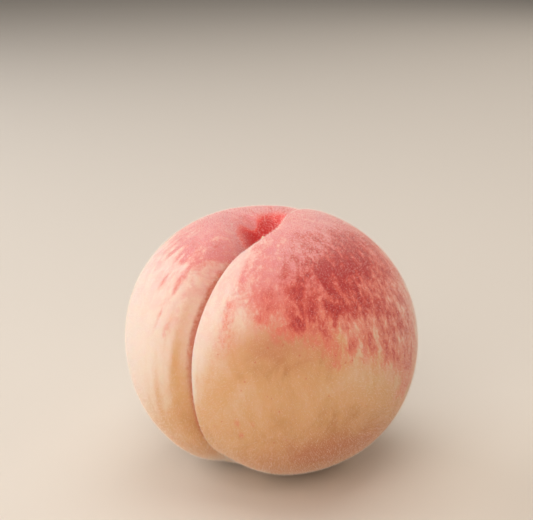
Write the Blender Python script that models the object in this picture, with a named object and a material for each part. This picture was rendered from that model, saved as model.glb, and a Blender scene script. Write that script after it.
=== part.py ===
"""A large white peach with the short broken stub of its stalk.

Metres, +Z up. The stalk end is up, the long groove (the suture) runs down the
front, towards -Y, and the fruit stands at z = 0 on the small flat spot that its
own weight has pressed. The origin is the middle of the fruit's footprint.
"""
import math

import bmesh
import bpy
from mathutils import Matrix, Vector

# Driving dimensions of the fruit, before the groove and the hollow are pressed in.
HALF_WIDTH = 0.0430          # across the two cheeks, along X
HALF_DEPTH = 0.0437          # from the groove to the back, along Y
HALF_HEIGHT = 0.0411         # from the middle to either pole, along Z
SEAT_DEPTH = 0.03583         # from the middle down to the flat spot
FOOTPRINT_MIDDLE = (0.00037, -0.00125)   # the box's middle, seen from the stalk's axis

# Departures from a plain ellipsoid, as fractions.
SHOULDER = 0.093             # the upper half is wider than the lower
FULLNESS = 0.075             # both ends are blunter than an ellipsoid's
CROWN = 0.103                # the stalk end is raised, the tip end drawn in
CHEEK_LEAD = 0.0056          # the +X cheek is a little larger
FRONT_LEAD = 0.0315          # the front is a little fuller than the back
LEAN_X = 0.030               # sideways lean of the axis, per unit of height
LEAN_Y = -0.089              # the stalk end leans towards the groove

# The groove. It undercuts the +X cheek, which bulges over it.
GROOVE_DEPTH = 0.0056
GROOVE_DEEPER_TOP = 0.50     # extra depth where it runs into the hollow
GROOVE_DEEPER_BASE = 1.10    # extra depth under the fruit
GROOVE_UNDERCUT = 0.318
GROOVE_UNDERCUT_WIDTH = 0.0050
LOW_SIDE_SHARE = 0.22        # on the -X side, the share that is a broad valley
LOW_SIDE_VALLEY = 0.0062
LOW_SIDE_NARROWING = 0.35
LOW_SIDE_CREASE = 0.0017
HIGH_SIDE_SHARE = 0.449      # on the +X side, the share that rounds the cheek's edge
HIGH_SIDE_VALLEY = 0.01006
HIGH_SIDE_CREASE = 0.00068
GROOVE_END_Y = 0.0020        # the groove fades out just behind the axis
GROOVE_END_SOFTNESS = 0.0025
BACK_CLEFT_DEPTH = 0.0007
BACK_CLEFT_WIDTH = 0.0040

# The hollow round the stalk: a broad dip with a narrower funnel in it.
HOLLOW_X = -0.0004
DIP_DEPTH = 0.00406
DIP_REACH = {"left": 0.0120, "right": 0.0027, "length": 0.0130}
DIP_Y = -0.0010
FUNNEL_DEPTH = 0.00953
FUNNEL_REACH = {"left": 0.0055, "right": 0.0037}
FUNNEL_LENGTH = {"front left": 0.0070, "front right": 0.00826, "back": 0.00686}
FUNNEL_Y = {"left": -0.0010, "right": -0.00704}
FUNNEL_POWER = 1.8
FUNNEL_FLOOR = 0.0306        # height of its floor above the fruit's middle
FLOOR_SOFTNESS = 0.0004
FLOOR_REACH = 0.0070         # how far the floor is held level round the stalk
RIDGE_HEIGHT = 0.0022        # a soft fold that runs down the funnel's wall
RIDGE_BEARING = math.radians(-128.0)
RIDGE_SPREAD = math.radians(24.0)
RIDGE_DISTANCE = 0.0060
RIDGE_LENGTH = 0.0035

# The mesh is finer at the groove and towards the stalk, where its columns meet.
COLUMNS = 72
ROWS = 44
COLUMN_CROWDING = 0.70
ROW_CROWDING = 0.55
POLE_TILT = math.radians(8.5)

# The stalk stub. Its foot stands just clear of the funnel's floor.
STALK_FOOT = (0.00160, -0.00825)
STALK_GAP = 0.0003
STALK_TIP = (0.0021, -0.0081, 0.0383)
STALK_SIDES = 12
# Each ring: how far up the stalk it is, its radius, and how far it has moved
# towards the splinter that ends it.
STALK_RINGS = (
    (0.00, 0.00120, 0.00),
    (0.10, 0.00138, 0.00),
    (0.24, 0.00138, 0.04),
    (0.45, 0.00128, 0.15),
    (0.64, 0.00126, 0.32),
    (0.72, 0.00112, 0.42),
    (0.76, 0.00062, 0.66),
    (0.90, 0.00046, 0.86),
    (1.00, 0.00028, 1.00),
)

FRUIT_COLOUR = (0.86, 0.42, 0.27)
STALK_COLOUR = (0.36, 0.25, 0.13)


def ease(amount):
    """An S-curve from 0 to 1 as the amount goes from 0 to 1."""
    amount = min(max(amount, 0.0), 1.0)
    return amount * amount * (3.0 - 2.0 * amount)


def step(distance, softness):
    """A rounded step from 0, well below zero distance, to 1, well above it."""
    return 1.0 / (1.0 + math.exp(-distance / softness))


def mix(low, high, amount):
    return low * (1.0 - amount) + high * amount


def bell(distance, width):
    return math.exp(-(distance / width) ** 2)


def soft_floor(height):
    """The height, held up to the funnel's floor with a rounded join."""
    above = (height - FUNNEL_FLOOR) / FLOOR_SOFTNESS
    if above > 30.0:
        return height
    return FUNNEL_FLOOR + FLOOR_SOFTNESS * math.log1p(math.exp(above))


def plain_body(polar, bearing):
    """The fruit with no groove or hollow. Bearing 0 faces -Y, and grows towards +X."""
    rise = math.cos(polar)
    girth = math.sin(polar) * (1.0 + SHOULDER * rise + FULLNESS * rise * rise)
    side = math.sin(bearing)
    front = math.cos(bearing)
    return Vector((
        HALF_WIDTH * girth * side * (1.0 + CHEEK_LEAD * side),
        -HALF_DEPTH * girth * front * (1.0 + FRONT_LEAD * front),
        HALF_HEIGHT * (rise + CROWN * rise * rise),
    ))


def groove_profile(across, near_top):
    """The share of the groove's depth at a distance across it."""
    if across < 0.0:
        valley = bell(across, LOW_SIDE_VALLEY * (1.0 - LOW_SIDE_NARROWING * near_top))
        return mix(math.exp(across / LOW_SIDE_CREASE), valley, LOW_SIDE_SHARE)
    crease = math.exp(-across / HIGH_SIDE_CREASE)
    return mix(crease, bell(across, HIGH_SIDE_VALLEY), HIGH_SIDE_SHARE)


def press_groove(point, rise):
    """Move a point of the body inwards, into the groove and the short cleft behind."""
    across = point.x
    near_top = ease((rise - 0.35) / 0.6)
    near_base = ease((-rise - 0.4) / 0.5)
    in_front = step(GROOVE_END_Y - point.y, GROOVE_END_SOFTNESS)
    before_seat = 1.0 - ease((-rise - 0.849) / 0.13)
    depth = GROOVE_DEPTH * (1.0 + GROOVE_DEEPER_TOP * near_top + GROOVE_DEEPER_BASE * near_base)
    depth *= groove_profile(across, near_top) * in_front * before_seat
    cleft = BACK_CLEFT_DEPTH * (1.0 - in_front) * near_top * bell(across, BACK_CLEFT_WIDTH)
    inwards = Vector((0.0, -point.y, -point.z)).normalized()
    pressed = point + inwards * (depth + cleft)
    pressed.x += GROOVE_UNDERCUT * depth * bell(across, GROOVE_UNDERCUT_WIDTH)
    return pressed


def press_hollow(point, rise):
    """Lower a point of the crown into the hollow round the stalk."""
    on_crown = ease((rise + 0.2) / 0.4)
    across = point.x - HOLLOW_X
    right = step(across, 0.0009)
    behind = step(point.y - DIP_Y, 0.0010)
    along = point.y - mix(FUNNEL_Y["left"], FUNNEL_Y["right"], right)
    front_length = mix(FUNNEL_LENGTH["front left"], FUNNEL_LENGTH["front right"], right)
    reach = mix(FUNNEL_REACH["left"], FUNNEL_REACH["right"], right)
    length = mix(front_length, FUNNEL_LENGTH["back"], behind)
    away = math.hypot(across / reach, along / length)
    funnel = FUNNEL_DEPTH * math.exp(-away ** FUNNEL_POWER)

    dip_reach = mix(DIP_REACH["left"], DIP_REACH["right"], right)
    dip = DIP_DEPTH * bell(across, dip_reach) * bell(point.y - DIP_Y, DIP_REACH["length"])

    bearing = math.atan2(across, DIP_Y - point.y)
    turn = math.remainder(bearing - RIDGE_BEARING, 2.0 * math.pi)
    distance = math.hypot(across, point.y - DIP_Y)
    ridge = RIDGE_HEIGHT * bell(turn, RIDGE_SPREAD)
    ridge *= bell(distance - RIDGE_DISTANCE, RIDGE_LENGTH)

    lowered = point.copy()
    lowered.z -= on_crown * (funnel + dip - ridge)
    from_stalk = math.hypot(point.x - STALK_FOOT[0], point.y - STALK_FOOT[1])
    level = on_crown * (1.0 - ease((from_stalk - FLOOR_REACH) / FLOOR_REACH))
    lowered.z = mix(lowered.z, soft_floor(lowered.z), level)
    return lowered


def fruit_point(polar, bearing):
    """A point of the finished skin, in the part's own frame."""
    rise = math.cos(polar)
    point = press_hollow(press_groove(plain_body(polar, bearing), rise), rise)
    return to_part_frame(point.x + LEAN_X * point.z, point.y + LEAN_Y * point.z,
                         max(point.z, -SEAT_DEPTH))


def to_part_frame(x, y, z):
    return Vector((x - FOOTPRINT_MIDDLE[0], y - FOOTPRINT_MIDDLE[1], z + SEAT_DEPTH))


def material(name, colour, roughness):
    new = bpy.data.materials.new(name)
    new.use_nodes = True
    surface = new.node_tree.nodes["Principled BSDF"]
    surface.inputs["Base Color"].default_value = (*colour, 1.0)
    surface.inputs["Roughness"].default_value = roughness
    surface.inputs["Metallic"].default_value = 0.0
    return new


def add_object(name, mesh_data, finish):
    mesh = bpy.data.meshes.new(name)
    mesh_data.to_mesh(mesh)
    mesh_data.free()
    mesh.shade_smooth()
    mesh.materials.append(finish)
    new = bpy.data.objects.new(name, mesh)
    bpy.context.collection.objects.link(new)
    return new


def lean_to_stalk(polar, bearing):
    """Turn a direction so that the mesh's upper pole falls at the stalk's foot."""
    girth = math.sin(polar)
    direction = Vector((girth * math.sin(bearing), -girth * math.cos(bearing), math.cos(polar)))
    tilt = POLE_TILT * (1.0 + direction.z) / 2.0
    direction.rotate(Matrix.Rotation(tilt, 3, "X"))
    return math.acos(min(max(direction.z, -1.0), 1.0)), math.atan2(direction.x, -direction.y)


def make_fruit():
    """A ball whose rows and columns are crowded, then moved onto the fruit's skin."""
    ball = bmesh.new()
    bmesh.ops.create_uvsphere(ball, u_segments=COLUMNS, v_segments=ROWS, radius=1.0)
    for vertex in ball.verts:
        turn = math.atan2(vertex.co.x, -vertex.co.y) / math.pi
        column = round(turn * COLUMNS / 2) * 2 / COLUMNS
        bearing = math.pi * mix(column, column ** 3, COLUMN_CROWDING)
        drop = math.acos(min(max(vertex.co.z, -1.0), 1.0)) / math.pi
        polar = math.pi * mix(drop, drop * drop, ROW_CROWDING)
        vertex.co = fruit_point(*lean_to_stalk(polar, bearing))
    return add_object("fruit", ball, material("peach_skin", FRUIT_COLOUR, 0.75))


def make_stalk():
    """A disc drawn up ring by ring: a stub that ends in one standing splinter."""
    foot = to_part_frame(*STALK_FOOT, FUNNEL_FLOOR + FLOOR_SOFTNESS + STALK_GAP)
    tip = to_part_frame(*STALK_TIP)
    stub = bmesh.new()
    bmesh.ops.create_circle(stub, cap_ends=True, segments=STALK_SIDES,
                            radius=STALK_RINGS[0][1], matrix=Matrix.Translation(foot))
    top = stub.faces[:][0]
    middle = foot.copy()
    for height, radius, towards_tip in STALK_RINGS[1:]:
        drawn = bmesh.ops.extrude_discrete_faces(stub, faces=[top])
        top = drawn["faces"][0]
        place = Vector((
            mix(foot.x, tip.x, towards_tip),
            mix(foot.y, tip.y, towards_tip),
            mix(foot.z, tip.z, height),
        ))
        for vertex in top.verts:
            outwards = (vertex.co - middle).normalized()
            vertex.co = place + outwards * radius
        middle = place
    base = [edge for edge in stub.edges if edge.is_boundary]
    bmesh.ops.contextual_create(stub, geom=base)
    bmesh.ops.recalc_face_normals(stub, faces=stub.faces)
    return add_object("stalk", stub, material("dry_stalk", STALK_COLOUR, 0.85))


def main():
    for old in list(bpy.data.objects):
        bpy.data.objects.remove(old, do_unlink=True)
    make_fruit()
    make_stalk()


if __name__ == "__main__":
    main()
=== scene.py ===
import math

import bmesh
import bpy
from bpy.props import FloatProperty, FloatVectorProperty, IntProperty, PointerProperty
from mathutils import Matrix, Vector, noise


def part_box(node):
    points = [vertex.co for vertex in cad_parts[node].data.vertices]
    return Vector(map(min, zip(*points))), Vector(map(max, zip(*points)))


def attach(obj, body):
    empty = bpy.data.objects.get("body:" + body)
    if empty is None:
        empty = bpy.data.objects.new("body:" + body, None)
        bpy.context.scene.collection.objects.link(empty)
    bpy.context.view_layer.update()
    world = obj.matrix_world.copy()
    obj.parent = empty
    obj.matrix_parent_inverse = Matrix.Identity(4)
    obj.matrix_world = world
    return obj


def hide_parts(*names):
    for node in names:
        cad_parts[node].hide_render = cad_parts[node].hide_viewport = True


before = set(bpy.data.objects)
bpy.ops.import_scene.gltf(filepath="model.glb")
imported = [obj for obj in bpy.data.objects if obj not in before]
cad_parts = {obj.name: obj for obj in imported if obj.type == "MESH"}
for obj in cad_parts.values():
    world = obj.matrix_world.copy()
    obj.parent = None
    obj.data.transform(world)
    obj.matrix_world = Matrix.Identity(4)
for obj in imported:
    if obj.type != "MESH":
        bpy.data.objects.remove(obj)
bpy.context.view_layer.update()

bl_info = {
    "name": "White Peach",
    "version": (1, 0, 0),
    "blender": (4, 5, 0),
    "location": "3D View > Sidebar > Peach",
    "description": "Makes a ripe white peach, its stalk stub, its down and a plain stage",
    "category": "Add Mesh",
}

FRUIT_LOW, FRUIT_HIGH = (Vector(corner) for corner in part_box("fruit"))
STALK_LOW, STALK_HIGH = (Vector(corner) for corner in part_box("stalk"))
FRUIT_SIZE = FRUIT_HIGH - FRUIT_LOW

MM = 0.001
NUMBER = "NodeSocketFloat"

# The plain body under the groove and the hollow, as shares of the finished fruit's size.
BODY_WIDTH_SHARE = 0.4981
BODY_DEPTH_SHARE = 0.5015
BODY_HEIGHT_SHARE = 0.5144
SEAT_SHARE = 0.4485

# The skin's form. Lengths are in metres, the rest are fractions or angles.
FORM = {
    # How far the mesh's columns and rows are drawn towards the groove and the hollow.
    "Column Crowding": 0.60,
    "Row Crowding": 0.45,
    "Pole Tilt": math.radians(8.5),
    # The body: fuller shoulders, blunt ends, one larger cheek and a lean towards the groove.
    "Shoulder": 0.093,
    "Fullness": 0.075,
    "Crown": 0.103,
    "Cheek Lead": 0.0056,
    "Front Lead": 0.0315,
    "Lean X": 0.030,
    "Lean Y": -0.089,
    "Footprint X": 0.37 * MM,
    "Footprint Y": -1.25 * MM,
    # The groove: a valley and a crease on each side, of different widths.
    "Deeper Top": 0.50,
    "Deeper Base": 1.10,
    "Undercut": 0.318,
    "Undercut Width": 5.0 * MM,
    "Low Side Share": 0.22,
    "Low Side Valley": 6.2 * MM,
    "Low Side Narrowing": 0.35,
    "Low Side Crease": 1.7 * MM,
    "High Side Share": 0.449,
    "High Side Valley": 10.06 * MM,
    "High Side Crease": 0.68 * MM,
    "Groove End": 2.0 * MM,
    "Groove End Softness": 2.5 * MM,
    "Cleft Depth": 0.7 * MM,
    "Cleft Width": 4.0 * MM,
    # The hollow: a broad dip, a funnel in it, a level floor and a ridge down the wall.
    "Hollow X": -0.4 * MM,
    "Dip Y": -1.0 * MM,
    "Dip Depth": 4.06 * MM,
    "Dip Left": 12.0 * MM,
    "Dip Right": 2.7 * MM,
    "Dip Length": 13.0 * MM,
    "Funnel Left": 5.5 * MM,
    "Funnel Right": 3.7 * MM,
    "Funnel Front Left": 7.0 * MM,
    "Funnel Front Right": 8.26 * MM,
    "Funnel Back": 6.86 * MM,
    "Funnel Y Left": -1.0 * MM,
    "Funnel Y Right": -7.04 * MM,
    "Funnel Floor": 30.6 * MM,
    "Floor Softness": 0.4 * MM,
    "Ridge Height": 2.2 * MM,
    "Ridge Bearing": math.radians(-128.0),
    "Ridge Spread": math.radians(24.0),
    "Ridge Distance": 6.0 * MM,
    "Ridge Length": 3.5 * MM,
    # The foot of the stalk, round which the floor is held level.
    "Stalk X": 1.6 * MM,
    "Stalk Y": -8.25 * MM,
}

# Each step is a result's name, what is done, and what it is done to.
CROWDING_STEPS = (
    ("turn cubed", "POWER", "Turn", 3.0),
    ("turn pull", "SUBTRACT", "turn cubed", "Turn"),
    ("Crowded Turn", "MULTIPLY_ADD", "turn pull", "Column Crowding", "Turn"),
    ("drop squared", "MULTIPLY", "Drop", "Drop"),
    ("drop pull", "SUBTRACT", "drop squared", "Drop"),
    ("Crowded Drop", "MULTIPLY_ADD", "drop pull", "Row Crowding", "Drop"),
)
BELL_STEPS = (
    ("share", "DIVIDE", "Distance", "Width"),
    ("squared", "MULTIPLY", "share", "share"),
    ("turned over", "MULTIPLY", "squared", -1.0),
    ("Bell", "EXPONENT", "turned over"),
)
REACH_STEPS = (
    ("across squared", "MULTIPLY", "Across", "Across"),
    ("squared", "MULTIPLY_ADD", "Along", "Along", "across squared"),
    ("Reach", "SQRT", "squared"),
)
ROUND_STEP_STEPS = (
    ("double", "MULTIPLY", "Softness", 2.0),
    ("share", "DIVIDE", "Distance", "double"),
    ("slope", "TANH", "share"),
    ("Step", "MULTIPLY_ADD", "slope", 0.5, 0.5),
)
DIRECTION_STEPS = (
    ("turned y", "MULTIPLY", "y", -1.0),
    ("turned x", "MULTIPLY", "x", -1.0),
    ("turn angle", "ARCTAN2", "turned y", "turned x"),
    ("turn", "DIVIDE", "turn angle", math.pi),
    ("drop angle", "ARCCOSINE", "z"),
    ("drop", "DIVIDE", "drop angle", math.pi),
)
BODY_STEPS = (
    ("bearing", "MULTIPLY", "crowded turn", math.pi),
    ("polar", "MULTIPLY", "crowded drop", math.pi),
    ("level reach", "SINE", "polar"),
    ("level height", "COSINE", "polar"),
    ("bearing side", "SINE", "bearing"),
    ("bearing front", "COSINE", "bearing"),
    ("side girth", "MULTIPLY", "level reach", "bearing side"),
    ("level front", "MULTIPLY", "level reach", "bearing front"),
    ("height share", "MULTIPLY_ADD", "level height", 0.5, 0.5),
    ("tilt", "MULTIPLY", "height share", "Pole Tilt"),
    ("tilt cosine", "COSINE", "tilt"),
    ("tilt sine", "SINE", "tilt"),
    ("rise kept", "MULTIPLY", "level height", "tilt cosine"),
    ("rise lost", "MULTIPLY", "level front", "tilt sine"),
    ("rise", "SUBTRACT", "rise kept", "rise lost"),
    ("front kept", "MULTIPLY", "level front", "tilt cosine"),
    ("front girth", "MULTIPLY_ADD", "level height", "tilt sine", "front kept"),
    ("rise squared", "MULTIPLY", "rise", "rise"),
    ("girth squared", "SUBTRACT", 1.0, "rise squared"),
    ("safe girth squared", "MAXIMUM", "girth squared", 1e-8),
    ("girth", "SQRT", "safe girth squared"),
    ("side", "DIVIDE", "side girth", "girth"),
    ("front", "DIVIDE", "front girth", "girth"),
    ("shouldered", "MULTIPLY_ADD", "rise", "Shoulder", 1.0),
    ("blunted", "MULTIPLY_ADD", "rise squared", "Fullness", "shouldered"),
    ("side lead", "MULTIPLY_ADD", "side", "Cheek Lead", 1.0),
    ("front lead", "MULTIPLY_ADD", "front", "Front Lead", 1.0),
    ("width here", "MULTIPLY", "Half Width", "blunted"),
    ("depth here", "MULTIPLY", "Half Depth", "blunted"),
    ("plain x", "MULTIPLY", "width here", "side girth"),
    ("body x", "MULTIPLY", "plain x", "side lead"),
    ("plain front", "MULTIPLY", "depth here", "front girth"),
    ("body front", "MULTIPLY", "plain front", "front lead"),
    ("body y", "MULTIPLY", "body front", -1.0),
    ("crowned", "MULTIPLY_ADD", "rise squared", "Crown", "rise"),
    ("body z", "MULTIPLY", "Half Height", "crowned"),
)
GROOVE_STEPS = (
    ("fall", "MULTIPLY", "rise", -1.0),
    ("near top", "SMOOTH", "rise", 0.35, 0.95),
    ("near base", "SMOOTH", "fall", 0.40, 0.90),
    ("near seat", "SMOOTH", "fall", 0.849, 0.979),
    ("before seat", "SUBTRACT", 1.0, "near seat"),
    ("before end", "SUBTRACT", "Groove End", "body y"),
    ("in front", "ROUND STEP", "before end", "Groove End Softness"),
    ("from crease", "ABSOLUTE", "body x"),
    ("into crease", "MULTIPLY", "from crease", -1.0),
    ("narrowing", "MULTIPLY", "near top", "Low Side Narrowing"),
    ("not narrowed", "SUBTRACT", 1.0, "narrowing"),
    ("low valley width", "MULTIPLY", "Low Side Valley", "not narrowed"),
    ("low valley", "BELL", "body x", "low valley width"),
    ("low crease share", "DIVIDE", "into crease", "Low Side Crease"),
    ("low crease", "EXPONENT", "low crease share"),
    ("low side", "MIX", "Low Side Share", "low crease", "low valley"),
    ("high valley", "BELL", "body x", "High Side Valley"),
    ("high crease share", "DIVIDE", "into crease", "High Side Crease"),
    ("high crease", "EXPONENT", "high crease share"),
    ("high side", "MIX", "High Side Share", "high crease", "high valley"),
    ("on low side", "LESS_THAN", "body x", 0.0),
    ("groove profile", "MIX", "on low side", "high side", "low side"),
    ("deeper", "MULTIPLY_ADD", "near top", "Deeper Top", 1.0),
    ("deeper still", "MULTIPLY_ADD", "near base", "Deeper Base", "deeper"),
    ("full depth", "MULTIPLY", "Groove Depth", "deeper still"),
    ("profiled depth", "MULTIPLY", "full depth", "groove profile"),
    ("groove kept", "MULTIPLY", "in front", "before seat"),
    ("groove", "MULTIPLY", "profiled depth", "groove kept"),
    ("behind", "SUBTRACT", 1.0, "in front"),
    ("cleft width", "BELL", "body x", "Cleft Width"),
    ("cleft place", "MULTIPLY", "behind", "near top"),
    ("cleft", "MULTIPLY", "cleft place", "cleft width"),
    ("pressed", "MULTIPLY_ADD", "cleft", "Cleft Depth", "groove"),
    ("reach", "REACH", "body y", "body z"),
    ("pull", "DIVIDE", "pressed", "reach"),
    ("kept", "SUBTRACT", 1.0, "pull"),
    ("pressed y", "MULTIPLY", "body y", "kept"),
    ("pressed z", "MULTIPLY", "body z", "kept"),
    ("undercut place", "BELL", "body x", "Undercut Width"),
    ("undercut depth", "MULTIPLY", "groove", "undercut place"),
    ("pressed x", "MULTIPLY_ADD", "undercut depth", "Undercut", "body x"),
)
HOLLOW_STEPS = (
    ("on crown", "SMOOTH", "rise", -0.2, 0.2),
    ("hollow x", "SUBTRACT", "pressed x", "Hollow X"),
    ("hollow y", "SUBTRACT", "pressed y", "Dip Y"),
    ("right", "ROUND STEP", "hollow x", 0.9 * MM),
    ("back", "ROUND STEP", "hollow y", 1.0 * MM),
    ("funnel y", "MIX", "right", "Funnel Y Left", "Funnel Y Right"),
    ("along", "SUBTRACT", "pressed y", "funnel y"),
    ("funnel front", "MIX", "right", "Funnel Front Left", "Funnel Front Right"),
    ("funnel width", "MIX", "right", "Funnel Left", "Funnel Right"),
    ("funnel length", "MIX", "back", "funnel front", "Funnel Back"),
    ("across share", "DIVIDE", "hollow x", "funnel width"),
    ("along share", "DIVIDE", "along", "funnel length"),
    ("across squared", "MULTIPLY", "across share", "across share"),
    ("away squared", "MULTIPLY_ADD", "along share", "along share", "across squared"),
    ("away", "POWER", "away squared", 0.9),
    ("away turned", "MULTIPLY", "away", -1.0),
    ("funnel", "EXPONENT", "away turned"),
    ("dip width", "MIX", "right", "Dip Left", "Dip Right"),
    ("dip across", "BELL", "hollow x", "dip width"),
    ("dip along", "BELL", "hollow y", "Dip Length"),
    ("dip", "MULTIPLY", "dip across", "dip along"),
    ("hollow front", "MULTIPLY", "hollow y", -1.0),
    ("hollow bearing", "ARCTAN2", "hollow x", "hollow front"),
    ("off ridge", "SUBTRACT", "hollow bearing", "Ridge Bearing"),
    ("ridge turn", "WRAP", "off ridge", math.pi, -math.pi),
    ("ridge place", "BELL", "ridge turn", "Ridge Spread"),
    ("hollow reach", "REACH", "hollow x", "hollow y"),
    ("ridge reach", "SUBTRACT", "hollow reach", "Ridge Distance"),
    ("ridge run", "BELL", "ridge reach", "Ridge Length"),
    ("ridge", "MULTIPLY", "ridge place", "ridge run"),
    ("funnel sink", "MULTIPLY", "funnel", "Funnel Depth"),
    ("sink", "MULTIPLY_ADD", "dip", "Dip Depth", "funnel sink"),
    ("ridge rise", "MULTIPLY", "ridge", "Ridge Height"),
    ("sink past ridge", "SUBTRACT", "sink", "ridge rise"),
    ("crown sink", "MULTIPLY", "sink past ridge", "on crown"),
    ("open z", "SUBTRACT", "pressed z", "crown sink"),
    ("over floor", "SUBTRACT", "open z", "Funnel Floor"),
    ("over floor share", "DIVIDE", "over floor", "Floor Softness"),
    ("over floor capped", "MINIMUM", "over floor share", 30.0),
    ("over floor grown", "EXPONENT", "over floor capped"),
    ("floor sum", "ADD", "over floor grown", 1.0),
    ("floor lift", "LOGARITHM", "floor sum", math.e),
    ("floor height", "MULTIPLY_ADD", "floor lift", "Floor Softness", "Funnel Floor"),
    ("held height", "MAXIMUM", "floor height", "open z"),
    ("stalk x", "SUBTRACT", "pressed x", "Stalk X"),
    ("stalk y", "SUBTRACT", "pressed y", "Stalk Y"),
    ("from stalk", "REACH", "stalk x", "stalk y"),
    ("off floor", "SMOOTH", "from stalk", 7.0 * MM, 14.0 * MM),
    ("near floor", "SUBTRACT", 1.0, "off floor"),
    ("on floor", "MULTIPLY", "near floor", "on crown"),
    ("form z", "MIX", "on floor", "open z", "held height"),
    ("form x", "MULTIPLY_ADD", "form z", "Lean X", "pressed x"),
    ("form y", "MULTIPLY_ADD", "form z", "Lean Y", "pressed y"),
    ("seat z", "MULTIPLY", "Seat Depth", -1.0),
    ("seated z", "MAXIMUM", "form z", "seat z"),
    ("skin x", "SUBTRACT", "form x", "Footprint X"),
    ("skin y", "SUBTRACT", "form y", "Footprint Y"),
    ("skin z", "ADD", "seated z", "Seat Depth"),
)
# The skin's flat map follows the ball's own, with its columns and rows crowded as well.
FLAT_STEPS = (
    ("flat turn", "MULTIPLY_ADD", "flat x", 2.0, -1.0),
    ("flat drop", "SUBTRACT", 1.0, "flat y"),
)
MAP_STEPS = (
    ("map across", "MULTIPLY_ADD", "crowded flat turn", 0.5, 0.5),
    ("map up", "SUBTRACT", 1.0, "crowded flat drop"),
)
# What the skin's finish reads: the place across the groove, and how deep the skin is pressed.
MARK_STEPS = (
    ("across mm", "DIVIDE", "body x", MM),
    ("groove mm", "DIVIDE", "groove", MM),
    ("hollow share", "MULTIPLY_ADD", "dip", 0.30, "funnel"),
    ("hollow mark", "MULTIPLY", "hollow share", "on crown"),
)


def linear(code):
    """A linear RGBA colour from an sRGB hex code such as "f4c9b0"."""
    channels = [int(code[place:place + 2], 16) / 255.0 for place in (0, 2, 4)]
    straight = [c / 12.92 if c <= 0.04045 else ((c + 0.055) / 1.055) ** 2.4 for c in channels]
    return (*straight, 1.0)


def add(tree, kind, settings=None, inputs=()):
    """Add a node. Its inputs are values, sockets or nodes, in order or by name."""
    node = tree.nodes.new(kind)
    for setting, value in (settings or {}).items():
        setattr(node, setting, value)
    open_sockets = [socket for socket in node.inputs if socket.enabled]
    by_name = {socket.name: socket for socket in open_sockets}
    pairs = inputs.items() if isinstance(inputs, dict) else enumerate(inputs)
    for place, given in pairs:
        socket = by_name[place] if isinstance(place, str) else open_sockets[place]
        if isinstance(given, bpy.types.Node):
            given = next(output for output in given.outputs if output.enabled)
        if isinstance(given, bpy.types.NodeSocket):
            tree.links.new(given, socket)
        elif given is not None:
            socket.default_value = given
    return node


def lay(tree, values, steps, kinds=None):
    """Add a node for each step, and keep each result under its name."""
    known = {
        "MIX": ("ShaderNodeMix", {"data_type": "FLOAT"}),
        "SMOOTH": ("ShaderNodeMapRange", {"interpolation_type": "SMOOTHSTEP"}),
    }
    known.update(kinds or {})
    for result, step, *given in steps:
        kind, settings = known.get(step, ("ShaderNodeMath", {"operation": step}))
        inputs = [values[item] if isinstance(item, str) else item for item in given]
        values[result] = add(tree, kind, settings, inputs)


def new_tree(name, inputs, outputs, tree_kind="GeometryNodeTree"):
    """A node group with named inputs and outputs, each a name and a kind of socket."""
    tree = bpy.data.node_groups.new(name, tree_kind)
    for label, kind, default in inputs:
        socket = tree.interface.new_socket(label, in_out="INPUT", socket_type=kind)
        if default is not None:
            socket.default_value = default
    for label, kind in outputs:
        tree.interface.new_socket(label, in_out="OUTPUT", socket_type=kind)
    return tree


def number_group(name, inputs, outputs, steps, tree_kind="GeometryNodeTree"):
    """A small group of sums that is used many times in a larger tree."""
    tree = new_tree(name, [(label, NUMBER, 0.0) for label in inputs],
                    [(label, NUMBER) for label in outputs], tree_kind)
    entry = add(tree, "NodeGroupInput")
    values = {label: entry.outputs[label] for label in inputs}
    lay(tree, values, steps)
    add(tree, "NodeGroupOutput", {}, {label: values[label] for label in outputs})
    return tree


def baked_mesh(name, start, tree, values):
    """The plain mesh that a geometry tree makes of a starting mesh."""
    maker = bpy.data.objects.new(name + "_maker", start)
    bpy.context.collection.objects.link(maker)
    modifier = maker.modifiers.new("Form", "NODES")
    modifier.node_group = tree
    names = {item.name: item.identifier for item in tree.interface.items_tree
             if item.item_type == "SOCKET" and item.in_out == "INPUT"}
    for label, value in values.items():
        modifier[names[label]] = value
    depsgraph = bpy.context.evaluated_depsgraph_get()
    evaluated = maker.evaluated_get(depsgraph)
    mesh = bpy.data.meshes.new_from_object(evaluated, depsgraph=depsgraph)
    bpy.data.objects.remove(maker, do_unlink=True)
    mesh.name = name
    finish = mesh.materials[-1]
    mesh.materials.clear()
    mesh.materials.append(finish)
    return mesh


def place_piece(name, mesh, node=None):
    """Put a finished mesh in the scene, riding on the one body."""
    piece = bpy.data.objects.new(name, mesh)
    bpy.context.collection.objects.link(piece)
    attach(piece, "root")
    if node:
        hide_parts(node)


def new_material(name):
    """A material with an empty node tree."""
    made = bpy.data.materials.new(name)
    made.use_nodes = True
    made.node_tree.nodes.clear()
    return made


# ---------------------------------------------------------------- the fruit's form

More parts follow.
